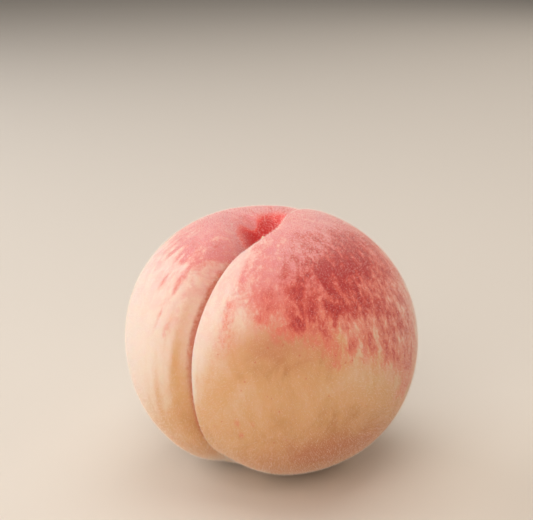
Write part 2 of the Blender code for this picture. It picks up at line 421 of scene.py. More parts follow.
def fruit_tree(material):
    """The skin's form: a ball whose columns and rows are moved onto the fruit."""
    sizes = [(label, NUMBER, 0.0) for label in
             ("Half Width", "Half Depth", "Half Height", "Seat Depth", "Groove Depth",
              "Funnel Depth", "Unevenness")]
    form = [(label, NUMBER, value) for label, value in FORM.items()]
    counts = [("Columns", "NodeSocketInt", 64), ("Rows", "NodeSocketInt", 32)]
    tree = new_tree("Peach Form", counts + sizes + form, [("Geometry", "NodeSocketGeometry")])
    entry = add(tree, "NodeGroupInput")
    crowding = number_group("Crowding", ("Turn", "Drop", "Column Crowding", "Row Crowding"),
                            ("Crowded Turn", "Crowded Drop"), CROWDING_STEPS)
    bell = number_group("Bell", ("Distance", "Width"), ("Bell",), BELL_STEPS)
    reach = number_group("Reach", ("Across", "Along"), ("Reach",), REACH_STEPS)
    round_step = number_group("Rounded Step", ("Distance", "Softness"), ("Step",),
                              ROUND_STEP_STEPS)
    kinds = {
        "BELL": ("GeometryNodeGroup", {"node_tree": bell}),
        "REACH": ("GeometryNodeGroup", {"node_tree": reach}),
        "ROUND STEP": ("GeometryNodeGroup", {"node_tree": round_step}),
    }
    values = {label: entry.outputs[label] for label, *_ in sizes + form}

    ball = add(tree, "GeometryNodeMeshUVSphere", {},
               [entry.outputs["Columns"], entry.outputs["Rows"], 1.0])
    ball_point = add(tree, "ShaderNodeSeparateXYZ", {}, [add(tree, "GeometryNodeInputPosition")])
    flat_point = add(tree, "ShaderNodeSeparateXYZ", {}, [ball.outputs["UV Map"]])
    values.update({"x": ball_point.outputs["X"], "y": ball_point.outputs["Y"],
                   "z": ball_point.outputs["Z"], "flat x": flat_point.outputs["X"],
                   "flat y": flat_point.outputs["Y"]})
    lay(tree, values, DIRECTION_STEPS + FLAT_STEPS)
    for turn, drop in (("turn", "drop"), ("flat turn", "flat drop")):
        crowded = add(tree, "GeometryNodeGroup", {"node_tree": crowding},
                      [values[turn], values[drop], values["Column Crowding"],
                       values["Row Crowding"]])
        values["crowded " + turn] = crowded.outputs["Crowded Turn"]
        values["crowded " + drop] = crowded.outputs["Crowded Drop"]
    for steps in (BODY_STEPS, GROOVE_STEPS, HOLLOW_STEPS, MARK_STEPS, MAP_STEPS):
        lay(tree, values, steps, kinds)

    flat_map = add(tree, "ShaderNodeCombineXYZ", {},
                   [values["map across"], values["map up"], 0.0])
    meridian = add(tree, "ShaderNodeCombineXYZ", {},
                   [values["side"], values["front"], values["polar"]])
    press = add(tree, "ShaderNodeCombineXYZ", {},
                [values["across mm"], values["groove mm"], values["hollow mark"]])
    marked = add(tree, "GeometryNodeStoreNamedAttribute",
                 {"data_type": "FLOAT2", "domain": "CORNER"},
                 [ball.outputs["Mesh"], True, "OFBake", flat_map])
    for label, value in (("meridian", meridian), ("press", press)):
        marked = add(tree, "GeometryNodeStoreNamedAttribute",
                     {"data_type": "FLOAT_VECTOR", "domain": "POINT"},
                     [marked, True, label, value])

    skin_point = add(tree, "ShaderNodeCombineXYZ", {},
                     [values["skin x"], values["skin y"], values["skin z"]])
    formed = add(tree, "GeometryNodeSetPosition", {}, {"Geometry": marked, "Position": skin_point})
    uneven = add_unevenness(tree, formed, values["Unevenness"])
    smooth = add(tree, "GeometryNodeSetShadeSmooth", {}, [uneven, None, True])
    realized = add(tree, "GeometryNodeRealizeInstances", {}, [smooth])
    finished = add(tree, "GeometryNodeSetMaterial", {}, {"Geometry": realized,
                                                         "Material": material})
    add(tree, "NodeGroupOutput", {}, [finished])
    return tree


def add_unevenness(tree, geometry, height):
    """Slight swells in the flesh, about 16 mm apart, which die out over the flat spot."""
    position = add(tree, "GeometryNodeInputPosition")
    normal = add(tree, "GeometryNodeInputNormal")
    swell = add(tree, "ShaderNodeTexNoise", {}, {"Vector": position, "Scale": 62.0,
                                                 "Detail": 2.0, "Roughness": 0.45})
    parts = add(tree, "ShaderNodeSeparateXYZ", {}, [position])
    values = {"swell": swell, "z": parts.outputs["Z"], "height": height}
    lay(tree, values, (
        ("centred", "SUBTRACT", "swell", 0.5),
        ("above seat", "SMOOTH", "z", 0.0, 6.0 * MM),
        ("lift", "MULTIPLY", "centred", "height"),
        ("lift kept", "MULTIPLY", "lift", "above seat"),
    ))
    offset = add(tree, "ShaderNodeVectorMath", {"operation": "SCALE"},
                 {"Vector": normal, "Scale": values["lift kept"]})
    return add(tree, "GeometryNodeSetPosition", {}, {"Geometry": geometry, "Offset": offset})


# ---------------------------------------------------------------- the skin's finish

# Where the flush lies: bearing from the groove towards +X, angle down from the stalk,
# half width and half height in degrees, and strength. A negative strength thins it.
FLUSH_PATCHES = (
    (80, 37, 36, 13, 1.08),
    (96, 59, 28, 18, 0.50),
    (72, 60, 16, 9.0, 0.24),
    (62, 36, 10, 7.0, 0.20),
    (40, 42, 14, 13, 0.12),
    (66, 26, 24, 8.0, 0.22),
    (44, 51, 11, 8.0, 0.34),
    (62, 50, 14, 9.0, 0.28),
    (64, 66, 17, 8.0, 0.13),
    (70, 60, 3.6, 3.6, -0.34),
    (63, 62, 2.6, 3.0, -0.22),
    (78, 61, 2.0, 3.0, -0.20),
    (57, 56, 1.8, 4.0, 0.26),
    (66, 67, 1.8, 3.4, 0.26),
    (75, 66, 1.8, 4.4, 0.30),
    (82, 71, 1.8, 5.0, 0.28),
    (59, 72, 1.8, 2.4, 0.20),
    (88, 78, 1.8, 6.0, 0.24),
    (-4, 28, 3.0, 11, -0.18),
    (-24, 31, 14, 7.0, -0.13),
    (48, 38, 4.5, 4.5, 0.22),
    (47, 46, 3.2, 5.0, 0.22),
    (47, 53, 2.8, 3.0, 0.44),
    (53, 51, 2.4, 3.0, 0.30),
    (62, 51, 3.4, 7.0, 0.30),
    (78, 52, 6.0, 6.0, 0.16),
    (96, 86, 9.0, 18, 0.36),
    (107, 86, 14, 22, 0.26),
    (84, 75, 10, 7.0, 0.16),
    (128, 44, 26, 20, 0.30),
    (165, 48, 30, 26, 0.44),
    (-148, 38, 32, 20, 0.40),
    (-105, 26, 36, 14, 0.28),
    (34, 38, 3.4, 3.6, 0.22),
    (32, 46, 2.8, 4.4, 0.30),
    (15, 26, 9.0, 13, -0.27),
    (30, 22, 6.0, 6.0, -0.10),
    (21, 30, 2.6, 6.0, 0.20),
    (17, 50, 3.0, 12, 0.18),
    (19, 57, 7.0, 12, 0.13),
    (13, 66, 1.8, 9.0, 0.12),
    (-26, 19, 12, 6.0, 0.14),
    (-11, 22, 3.2, 5.0, 0.16),
    (-19, 28, 2.4, 5.0, 0.34),
    (-25, 27, 1.8, 5.0, 0.26),
    (-35, 28, 2.4, 5.0, 0.22),
    (-22, 41, 1.4, 5.0, 0.20),
    (-12, 38, 1.5, 7.0, 0.32),
    (-15, 52, 1.4, 6.0, 0.28),
    (-9, 57, 1.5, 6.0, 0.24),
    (-16, 60, 1.2, 3.0, 0.12),
    (-6.6, 50, 1.0, 14, 0.14),
    (-10.5, 66, 0.9, 12, 0.10),
    (7.5, 58, 1.0, 14, 0.12),
    (22, 93, 1.6, 3.0, 0.30),
    (23, 100, 1.4, 2.6, 0.30),
    (28, 93, 1.2, 1.8, 0.28),
    (-14, 93, 2.6, 4.0, 0.12),
)
# Where the ground turns from cream to gold, in the same terms.
GOLD_PATCHES = (
    (52, 88, 40, 40, 0.92),
    (34, 61, 14, 11, 0.42),
    (44, 68, 20, 10, 0.40),
    (16, 92, 16, 24, 0.42),
    (-4.5, 66, 1.8, 28, 0.42),
    (-8.5, 56, 1.2, 14, 0.26),
    (-12.5, 84, 1.6, 18, 0.26),
    (-19, 92, 1.6, 14, 0.18),
    (5.5, 70, 1.0, 20, 0.14),
    (60, 124, 60, 22, 0.60),
    (-8, 112, 22, 27, 0.64),
    (100, 108, 34, 28, 0.46),
    (175, 104, 50, 30, 0.62),
    (-110, 108, 40, 26, 0.44),
    (-48, 114, 30, 20, 0.36),
)
# Where the ground is browner, low on the shaded cheek. The lowest patches are partly painted
# shade, darkening the skin where it nears the floor.
TAN_AND_CONTACT_SHADE_PATCHES = (
    (40, 58, 14, 8.0, 0.60),
    (64, 114, 24, 11, 0.90),
    (58, 128, 50, 16, 0.60),
    (120, 124, 34, 14, 0.35),
)
# Red spots on the wall of the hollow, partly the skin's own red and partly painted shade in its
# two pockets, and negative ones that leave its ridge paler, partly painted light on the ridge:
# place and radius in millimetres, and strength.
HOLLOW_RED_AND_SHADE_SPOTS = (
    ((-3.6, -6.4, 71.8), 4.4, 1.65),
    ((-2.2, -10.8, 73.2), 3.4, 0.60),
    ((-2.7, 0.9, 73.2), 3.8, 1.50),
    ((-2.6, 3.6, 74.8), 3.2, 0.90),
    ((-0.9, 6.8, 76.4), 2.6, 0.50),
    ((-6.6, -2.5, 76.0), 2.2, -0.60),
    ((-5.0, -1.9, 74.6), 1.6, -1.00),
    ((-3.8, -1.6, 72.6), 1.1, -0.70),
    ((-2.4, 4.6, 75.7), 0.9, -0.40),
)
# Small marks: a nub and scuffs by the groove, in the same terms.
PALE_SPOTS = (
    ((-0.9, -42.2, 39.0), 0.55, 1.0),
    ((4.6, -41.8, 36.6), 0.90, 0.5),
    ((5.6, -41.3, 33.6), 0.70, 0.5),
)
SPOT_STEPS = BELL_STEPS + (
    ("Total", "MULTIPLY_ADD", "Bell", "Strength", "Sum"),
)
PATCH_STEPS = (
    ("turned away", "SUBTRACT", "Lined Up", 1.0),
    ("sideways", "MULTIPLY", "turned away", "Spread"),
    ("drop", "SUBTRACT", "Polar", "Middle"),
    ("drop share", "DIVIDE", "drop", "Height"),
    ("drop squared", "MULTIPLY", "drop share", "drop share"),
    ("fade", "SUBTRACT", "sideways", "drop squared"),
    ("cover", "EXPONENT", "fade"),
    ("Total", "MULTIPLY_ADD", "cover", "Strength", "Sum"),
)


def patch_sum(tree, group, meridian, polar, patches):
    """The sum of soft oval patches on the skin."""
    total = 0.0
    for bearing, drop, width, height, strength in patches:
        aim = Vector((math.sin(math.radians(bearing)), math.cos(math.radians(bearing)), 0.0))
        lined_up = add(tree, "ShaderNodeVectorMath", {"operation": "DOT_PRODUCT"},
                       [meridian, aim])
        total = add(tree, "ShaderNodeGroup", {"node_tree": group}, [
            lined_up, polar, math.radians(drop), 2.0 / math.radians(width) ** 2,
            math.radians(height), strength, total])
    return total


def spot_sum(tree, group, place, spots):
    """The sum of soft round spots on the skin."""
    total = 0.0
    for centre, radius, strength in spots:
        away = add(tree, "ShaderNodeVectorMath", {"operation": "DISTANCE"},
                   [place, Vector(centre) * MM])
        total = add(tree, "ShaderNodeGroup", {"node_tree": group},
                    [away, radius * MM, strength, total])
    return total


def skin_material(colours):
    """White peach skin: thin waxy skin under short down.

    The down makes it matt and pale at the edges, the flesh under it lets light through,
    and the flush lies in short streaks that run from the stalk to the tip.
    """
    made = new_material("Downy peach skin")
    tree = made.node_tree
    place = add(tree, "ShaderNodeTexCoord").outputs["Object"]
    meridian = add(tree, "ShaderNodeAttribute", {"attribute_name": "meridian"}).outputs["Vector"]
    press = add(tree, "ShaderNodeSeparateXYZ", {},
                [add(tree, "ShaderNodeAttribute", {"attribute_name": "press"}).outputs["Vector"]])
    polar = add(tree, "ShaderNodeSeparateXYZ", {}, [meridian]).outputs["Z"]
    values = {
        "across": press.outputs["X"],
        "groove": press.outputs["Y"],
        "hollow": press.outputs["Z"],
        "polar": polar,
    }

    # Streaks run along the meridians. At the girth they are about 3 mm wide and 8 mm long,
    # the fine ones a third of that and the broad ones 9 mm by 15 mm. Blotches are about 8 mm
    # across, mottles 1.3 mm and grains of down 0.5 mm, which is as fine as still shows.
    across_share = add(tree, "ShaderNodeMath", {"operation": "SINE"}, [polar])
    spread = add(tree, "ShaderNodeMath", {"operation": "MULTIPLY_ADD"}, [across_share, 0.6, 0.4])
    around = add(tree, "ShaderNodeVectorMath", {"operation": "MULTIPLY"},
                 [meridian, (1.0, 1.0, 0.0)])
    around_spread = add(tree, "ShaderNodeVectorMath", {"operation": "SCALE"},
                        {"Vector": around, "Scale": spread})
    down = add(tree, "ShaderNodeVectorMath", {"operation": "MULTIPLY"},
               [meridian, (0.0, 0.0, 1.0)])
    brushed = add(tree, "ShaderNodeVectorMath", {"operation": "ADD"}, [around_spread, down])
    # Each pattern's source, stretch, scale, detail, roughness and distortion.
    patterns = {
        "streaks": (brushed, (14.0, 14.0, 5.0), 1.0, 5.0, 0.66, 0.3),
        "fine streaks": (brushed, (44.0, 44.0, 14.0), 1.0, 4.0, 0.70, 0.2),
        "broad streaks": (brushed, (5.0, 5.0, 2.6), 1.0, 4.0, 0.60, 0.6),
        "blotches": (place, (1.0, 1.0, 1.0), 120.0, 5.0, 0.68, 0.4),
        "mottle": (place, (1.0, 1.0, 1.0), 800.0, 3.0, 0.65, 0.0),
        "grain": (place, (1.0, 1.0, 1.0), 2100.0, 2.0, 0.60, 0.0),
    }
    for label, (source, stretch, scale, detail, roughness, distortion) in patterns.items():
        stretched = add(tree, "ShaderNodeVectorMath", {"operation": "MULTIPLY"},
                        [source, stretch])
        values[label] = add(tree, "ShaderNodeTexNoise", {},
                            {"Vector": stretched, "Scale": scale, "Detail": detail,
                             "Roughness": roughness, "Distortion": distortion})

    # Pores lie about 3 mm apart, and each is about 0.5 mm across.
    values["pores"] = add(tree, "ShaderNodeTexVoronoi", {"feature": "F1"},
                          {"Vector": place, "Scale": 330.0})

    patch = number_group("Skin Patch", ("Lined Up", "Polar", "Middle", "Spread", "Height",
                                        "Strength", "Sum"), ("Total",), PATCH_STEPS,
                         "ShaderNodeTree")
    values["flush patches"] = patch_sum(tree, patch, meridian, polar, FLUSH_PATCHES)
    values["gold patches"] = patch_sum(tree, patch, meridian, polar, GOLD_PATCHES)
    values["tan and contact shade patches"] = patch_sum(tree, patch, meridian, polar, TAN_AND_CONTACT_SHADE_PATCHES)
    spot = number_group("Skin Spot", ("Distance", "Width", "Strength", "Sum"), ("Total",),
                        SPOT_STEPS, "ShaderNodeTree")
    values["hollow red and shade spots"] = spot_sum(tree, spot, place, HOLLOW_RED_AND_SHADE_SPOTS)
    values["pale spots"] = spot_sum(tree, spot, place, PALE_SPOTS)

    lay(tree, values, (
        # The pale band on the high side of the groove, and the tan one on the low side.
        ("high band start", "SMOOTH", "across", 0.2, 1.2),
        ("high band end", "SMOOTH", "across", 2.5, 10.5),
        ("high band", "SUBTRACT", "high band start", "high band end"),
        ("groove near", "SMOOTH", "groove", 0.4, 2.5),
        ("high band pale", "MULTIPLY", "high band", "groove near"),
        ("low side", "MULTIPLY", "across", -1.0),
        ("low band end", "SMOOTH", "low side", 0.8, 6.0),
        ("low band", "SUBTRACT", 1.0, "low band end"),
        ("low band start", "SMOOTH", "low side", -0.2, 0.6),
        ("low band here", "MULTIPLY", "low band", "low band start"),
        ("low band near", "SMOOTH", "groove", 0.3, 1.6),
        ("low band tan", "MULTIPLY", "low band here", "low band near"),
        ("low band top", "SMOOTH", "polar", 1.25, 0.85),
        ("low band flush", "MULTIPLY", "low band tan", "low band top"),
        ("off crease", "ABSOLUTE", "across"),
        ("crease end", "SMOOTH", "off crease", 0.25, 1.3),
        ("crease", "SUBTRACT", 1.0, "crease end"),
        ("crease deep", "SMOOTH", "groove", 2.0, 5.0),
        ("crease line", "MULTIPLY", "crease", "crease deep"),
        # Gold ground shows through where the fruit faced the shade.
        ("gold clouds", "MULTIPLY_ADD", "broad streaks", 1.6, -0.80),
        ("gold sum", "MULTIPLY_ADD", "gold patches", "gold clouds", "gold patches"),
        ("pale drop", "SMOOTH", "polar", 1.90, 1.25),
        ("pale band here", "MULTIPLY", "high band pale", "pale drop"),
        ("gold less pale", "MULTIPLY_ADD", "pale band here", -0.34, "gold sum"),
        ("gold and tan", "MULTIPLY_ADD", "low band tan", 0.20, "gold less pale"),
        ("gold fine", "MULTIPLY_ADD", "fine streaks", 0.36, -0.16),
        ("gold all", "ADD", "gold and tan", "gold fine"),
        ("gold amount", "SMOOTH", "gold all", 0.0, 0.95),
        ("amber amount", "SMOOTH", "gold all", 0.85, 1.60),
        # The tan is partly browner ground and partly painted shade low down, near the floor.
        ("tan clouds", "MULTIPLY_ADD", "blotches", 1.6, 0.2),
        ("tan and contact shade amount", "MULTIPLY", "tan and contact shade patches", "tan clouds"),
        # The flush, broken into streaks and mottles.
        ("crown near", "SMOOTH", "polar", 1.00, 0.10),
        ("crown flush", "MULTIPLY_ADD", "crown near", 0.44, "flush patches"),
        ("band flush", "MULTIPLY_ADD", "low band flush", 0.06, "crown flush"),
        ("flush less pale", "MULTIPLY_ADD", "high band pale", -0.20, "band flush"),
        ("streak share", "SMOOTH", "streaks", 0.36, 0.64),
        ("fine share", "SMOOTH", "fine streaks", 0.36, 0.64),
        ("blotch share", "SMOOTH", "blotches", 0.36, 0.64),
        ("mottle share", "SMOOTH", "mottle", 0.34, 0.66),
        ("broken one", "MULTIPLY_ADD", "streak share", 0.62, 0.24),
        ("broken two", "MULTIPLY_ADD", "blotch share", 0.36, "broken one"),
        ("broken three", "MULTIPLY_ADD", "fine share", 0.28, "broken two"),
        ("broken", "MULTIPLY_ADD", "mottle share", 0.18, "broken three"),
        ("flush smooth", "MULTIPLY", "flush less pale", "broken"),
        ("edge start", "SMOOTH", "polar", 0.75, 1.05),
        ("edge here", "SMOOTH", "flush less pale", 0.10, 0.40),
        ("edge share", "MULTIPLY", "edge here", "edge start"),
        ("edge strokes", "ADD", "streak share", "fine share"),
        ("edge lift", "MULTIPLY_ADD", "edge strokes", 0.15, -0.15),
        ("flush", "MULTIPLY_ADD", "edge lift", "edge share", "flush smooth"),
        ("tint drop", "SMOOTH", "polar", 1.40, 0.30),
        ("tint streaks", "MULTIPLY_ADD", "streak share", 0.30, 0.22),
        ("tint amount", "MULTIPLY", "tint drop", "tint streaks"),
        ("wash whole", "SMOOTH", "flush", 0.06, 0.50),
        ("wash thinner", "MULTIPLY_ADD", "edge start", -0.24, 1.0),
        ("wash", "MULTIPLY", "wash whole", "wash thinner"),
        ("crown cool", "SMOOTH", "polar", 0.95, 0.40),
        ("pink amount", "MULTIPLY", "wash", "crown cool"),
        ("rose", "SMOOTH", "flush", 0.46, 0.96),
        ("crimson", "SMOOTH", "flush", 0.86, 1.36),
        # The hollow reddens and darkens with depth: partly the skin's own red, partly painted
        # shade deep in the hollow.
        ("hollow deep", "SMOOTH", "hollow", 0.56, 0.86),
        ("hollow sum", "ADD", "hollow red and shade spots", "hollow deep"),
        ("hollow broken", "MULTIPLY_ADD", "fine streaks", 0.50, -0.25),
        ("hollow red and shade", "ADD", "hollow sum", "hollow broken"),
        ("hollow wash", "SMOOTH", "hollow red and shade", 0.05, 0.65),
        ("hollow red", "SMOOTH", "hollow red and shade", 0.35, 1.00),
        ("hollow dark and shaded", "SMOOTH", "hollow red and shade", 0.85, 1.50),
        ("seam side", "SUBTRACT", "low side", 0.9),
        ("seam off", "ABSOLUTE", "seam side"),
        ("seam near", "SMOOTH", "seam off", 0.55, 0.05),
        ("seam grooved", "MULTIPLY", "seam near", "low band near"),
        ("seam broken", "MULTIPLY_ADD", "mottle share", 0.50, 0.22),
        ("seam start", "SMOOTH", "polar", 0.36, 0.60),
        ("seam stop", "SMOOTH", "polar", 1.50, 1.05),
        ("seam kept", "MULTIPLY", "seam start", "seam stop"),
        ("seam line", "MULTIPLY", "seam grooved", "seam kept"),
        ("seam amount", "MULTIPLY", "seam line", "seam broken"),
        # Pale flecks near the crown: partly the down's own paleness, partly painted sheen of the
        # down.
        ("bloom and sheen drop", "SMOOTH", "polar", 0.72, 0.34),
        ("bloom and sheen fleck", "SMOOTH", "grain", 0.46, 0.70),
        ("bloom and sheen share", "MULTIPLY_ADD", "bloom and sheen fleck", 0.55, 0.12),
        ("bloom and sheen flush", "SMOOTH", "flush less pale", 0.30, 0.70),
        ("bloom and sheen here", "MULTIPLY", "bloom and sheen drop", "bloom and sheen flush"),
        ("bloom and sheen amount", "MULTIPLY", "bloom and sheen here", "bloom and sheen share"),
        ("pale mark", "SMOOTH", "pale spots", 0.30, 0.70),
        ("pore", "SMOOTH", "pores", 0.10, 0.055),
        ("ripe", "ADD", "flush less pale", "gold sum"),
        ("pore here", "SMOOTH", "ripe", 0.35, 0.80),
        ("pore shown", "MULTIPLY", "pore", "pore here"),
        ("dot amount", "MULTIPLY", "pore shown", 0.60),
    ))

    layers = (
        ("gold amount", colours.gold),
        ("amber amount", colours.amber),
        ("tan and contact shade amount", colours.tan),
        ("tint amount", colours.pink),
        ("wash", colours.coral),
        ("pink amount", colours.pink),
        ("rose", colours.rose),
        ("crimson", colours.crimson),
        ("dot amount", colours.rose),
        ("crease line", colours.crease),
        # Partly painted shade: the hollow's colours grow darker the deeper the skin lies.
        ("hollow wash", colours.throat),
        ("hollow red", colours.hollow),
        ("hollow dark and shaded", colours.deep),
        ("seam amount", colours.crease),
        # Partly painted sheen: the pale flecks near the crown.
        ("bloom and sheen amount", colours.bloom),
        ("pale mark", colours.bloom),
    )
    paint = (*colours.cream, 1.0)
    for amount, colour in layers:
        paint = add(tree, "ShaderNodeMix", {"data_type": "RGBA"},
                    [values[amount], paint, (*colour, 1.0)])

    lay(tree, values, (
        ("grain height", "MULTIPLY", "grain", 0.10 * MM),
        ("mottle height", "MULTIPLY_ADD", "mottle", 0.16 * MM, "grain height"),
    ))
    relief = add(tree, "ShaderNodeBump", {}, {"Strength": 0.6, "Distance": 1.0,
                                              "Height": values["mottle height"]})
    shader = add(tree, "ShaderNodeBsdfPrincipled", {"subsurface_method": "RANDOM_WALK"}, {
        "Base Color": paint,
        "Roughness": 0.68,
        "IOR": 1.40,
        "Normal": relief,
        "Subsurface Weight": 0.80,
        "Subsurface Radius": (1.0, 0.40, 0.22),
        "Subsurface Scale": 4.5 * MM,
        "Sheen Weight": 0.32,
        "Sheen Roughness": 0.42,
        "Sheen Tint": linear("ffe6dc"),
    })
    add(tree, "ShaderNodeOutputMaterial", {}, [shader])
    return made


# ---------------------------------------------------------------- the stalk

STALK_SIDES = 32
STALK_RINGS = 44
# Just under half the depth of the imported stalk's box, so that its flutes stay inside.
STALK_HALF_WIDTH = 0.49 * (STALK_HIGH.y - STALK_LOW.y)
# How far the tip stands from over the middle of the foot.
STALK_TO_TIP = Vector((0.50 * MM, 0.15 * MM, 0.0))
FLUTES = 6
FLUTE_DEPTH = 0.05
BARK_UNEVENNESS = 0.06
# Where the stalk was torn across, how far the tear reaches up and down, and how ragged it is,
# as shares of its length.
TEAR_PLACE = 0.73
TEAR_REACH = 0.12
TEAR_RAGGEDNESS = 0.07
# From here up the raw wood shows, as a share of the length.
RAW_WOOD_PLACE = 0.70
RAW_WOOD_EDGE = 1.2 * MM
# The stalk's rings: height, radius and how far towards the tip, as shares of its size.
STALK_PROFILE = (
    (0.00, 0.86, 0.00),
    (0.10, 0.99, 0.00),
    (0.24, 0.99, 0.04),
    (0.45, 0.92, 0.15),
    (0.64, 0.90, 0.32),
    (0.72, 0.80, 0.42),
    (0.76, 0.44, 0.66),
    (0.90, 0.33, 0.86),
    (1.00, 0.20, 1.00),
)


def stalk_material():
    """A dry peach stalk: grey-brown fibrous bark with a paler, raw broken end."""
    made = new_material("Dry stalk bark")
    tree = made.node_tree
    place = add(tree, "ShaderNodeTexCoord").outputs["Object"]
    # Fibres are about 0.4 mm wide and 2.4 mm long.
    fibres_place = add(tree, "ShaderNodeVectorMath", {"operation": "MULTIPLY"},
                       [place, (2600.0, 2600.0, 420.0)])
    fibres = add(tree, "ShaderNodeTexNoise", {}, {"Vector": fibres_place, "Scale": 1.0,
                                                  "Detail": 3.0})
    height = add(tree, "ShaderNodeSeparateXYZ", {}, [place]).outputs["Z"]
    values = {"height": height, "fibres": fibres}
    raw_wood_height = STALK_LOW.z + RAW_WOOD_PLACE * (STALK_HIGH.z - STALK_LOW.z)
    lay(tree, values, (
        ("ragged height", "MULTIPLY_ADD", "fibres", RAW_WOOD_EDGE, "height"),
        ("raw", "SMOOTH", "ragged height", raw_wood_height, raw_wood_height + RAW_WOOD_EDGE),
        ("fibre height", "MULTIPLY", "fibres", 0.25 * MM),
    ))
    bark = add(tree, "ShaderNodeMix", {"data_type": "RGBA"},
               [fibres, linear("4f3a22"), linear("9a7a4c")])
    paint = add(tree, "ShaderNodeMix", {"data_type": "RGBA"},
                [values["raw"], bark, linear("f1e2c2")])
    relief = add(tree, "ShaderNodeBump", {}, {"Strength": 0.8, "Distance": 1.0,
                                              "Height": values["fibre height"]})
    shader = add(tree, "ShaderNodeBsdfPrincipled", {}, {
        "Base Color": paint, "Roughness": 0.85, "Normal": relief,
    })
    add(tree, "ShaderNodeOutputMaterial", {}, [shader])
    return made


def stalk_ring(climb):
    """The radius and the lean at a height, both as shares."""
    for low, high in zip(STALK_PROFILE, STALK_PROFILE[1:]):
        if climb <= high[0]:
            share = (climb - low[0]) / (high[0] - low[0])
            eased = share * share * (3.0 - 2.0 * share)
            return [low[place] + (high[place] - low[place]) * eased for place in (1, 2)]
    return STALK_PROFILE[-1][1:]


def stalk_mesh(name):
    """A fluted stub with a torn shoulder, whose one unbroken splinter stands up."""
    length = STALK_HIGH.z - STALK_LOW.z
    foot = STALK_LOW + Vector((STALK_HALF_WIDTH, STALK_HALF_WIDTH, 0.0))
    form = bmesh.new()
    rings = []
    for row in range(STALK_RINGS + 1):
        climb = row / STALK_RINGS
        radius_share, lean = stalk_ring(climb)
        torn = max(0.0, 1.0 - abs(climb - TEAR_PLACE) / TEAR_REACH)
        ring = []
        for side in range(STALK_SIDES):
            turn = 2.0 * math.pi * side / STALK_SIDES
            outwards = Vector((math.cos(turn), math.sin(turn), 0.0))
            grain = noise.noise(Vector((3.0 * outwards.x, 3.0 * outwards.y, 6.0 * climb)))
            tear = noise.noise(Vector((5.0 * outwards.x, 5.0 * outwards.y, 4.0)))
            flute = FLUTE_DEPTH * math.cos(FLUTES * turn + 2.0 * climb)
            radius_here = radius_share * (1.0 + flute + BARK_UNEVENNESS * grain)
            radius = STALK_HALF_WIDTH * min(radius_here, 1.0)
            height = length * min(max(climb + TEAR_RAGGEDNESS * torn * tear, 0.0), 1.0)
            ring.append(form.verts.new(foot + outwards * radius + STALK_TO_TIP * lean
                                       + Vector((0.0, 0.0, height))))
        rings.append(ring)
    for low, high in zip(rings, rings[1:]):
        for side in range(STALK_SIDES):
            after = (side + 1) % STALK_SIDES
            form.faces.new((low[side], low[after], high[after], high[side]))
    form.faces.new(list(reversed(rings[0])))
    form.faces.new(rings[-1])
    bmesh.ops.recalc_face_normals(form, faces=form.faces)
    mesh = bpy.data.meshes.new(name)
    form.to_mesh(mesh)
    form.free()
    mesh.shade_smooth()
    mesh.set_sharp_from_angle(angle=math.radians(50.0))
    return mesh


# ---------------------------------------------------------------- the down

def down_material(colour):
    """Peach down: fine pale hairs, a little translucent, that catch the light."""
    made = new_material("Peach down")
    tree = made.node_tree
    shader = add(tree, "ShaderNodeBsdfPrincipled", {}, {
        "Base Color": (*colour, 1.0), "Roughness": 0.7, "Subsurface Weight": 0.0,
    })
    add(tree, "ShaderNodeOutputMaterial", {}, [shader])
    return made


# How far a hair's foot is sunk in the skin.
HAIR_ROOT = 0.06 * MM
# The shortest and the longest hair, as shares of a hair of middling size.
HAIR_SCALES = (0.55, 1.3)
# How deep in the hollow the down begins to thin, where it is thinnest, and what is left there.
THINNING_START = 0.30
THINNING_END = 0.75
THINNED_SHARE = 0.05


